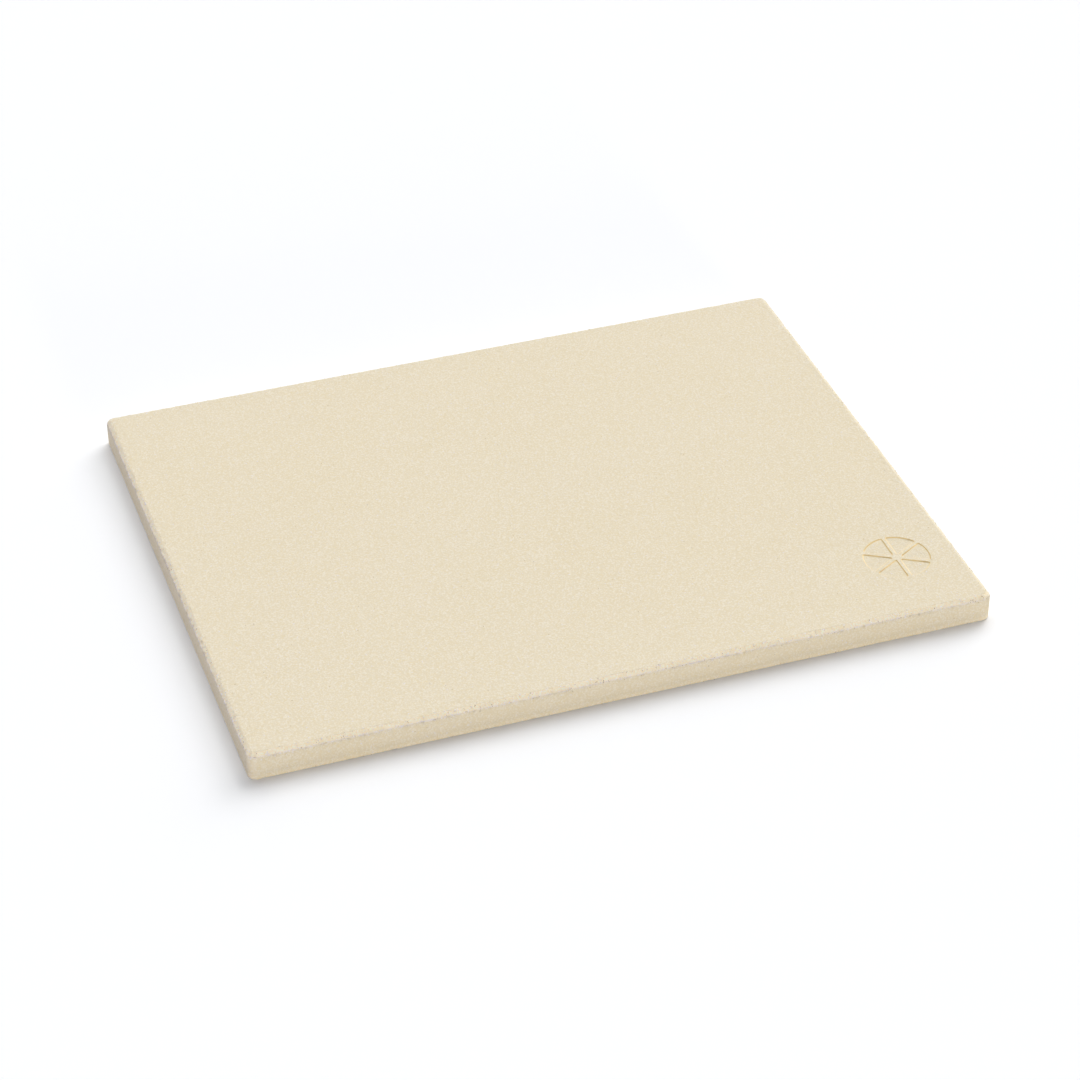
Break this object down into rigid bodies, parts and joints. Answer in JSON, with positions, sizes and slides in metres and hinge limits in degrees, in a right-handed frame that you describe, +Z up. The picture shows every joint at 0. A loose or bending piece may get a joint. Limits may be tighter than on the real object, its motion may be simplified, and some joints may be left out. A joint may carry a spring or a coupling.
{
  "type": "pizza stone",
  "caption": "Rectangular cordierite baking slab with rounded corners, a bevelled upper edge and a shallow pressed corner mark, for pizza and bread in an oven or on a grill.",
  "frame": {"origin": "centre of the underside, which is the face that the slab rests on", "axes": "+X along the long side, +Y from the front edge to the back edge, +Z up through the baking face"},
  "size_m": [0.38, 0.3, 0.015],
  "materials": {
    "cordierite": "matte"
  },
  "bodies": {
    "root": {"stone_slab": "cordierite"}
  },
  "joints": []
}
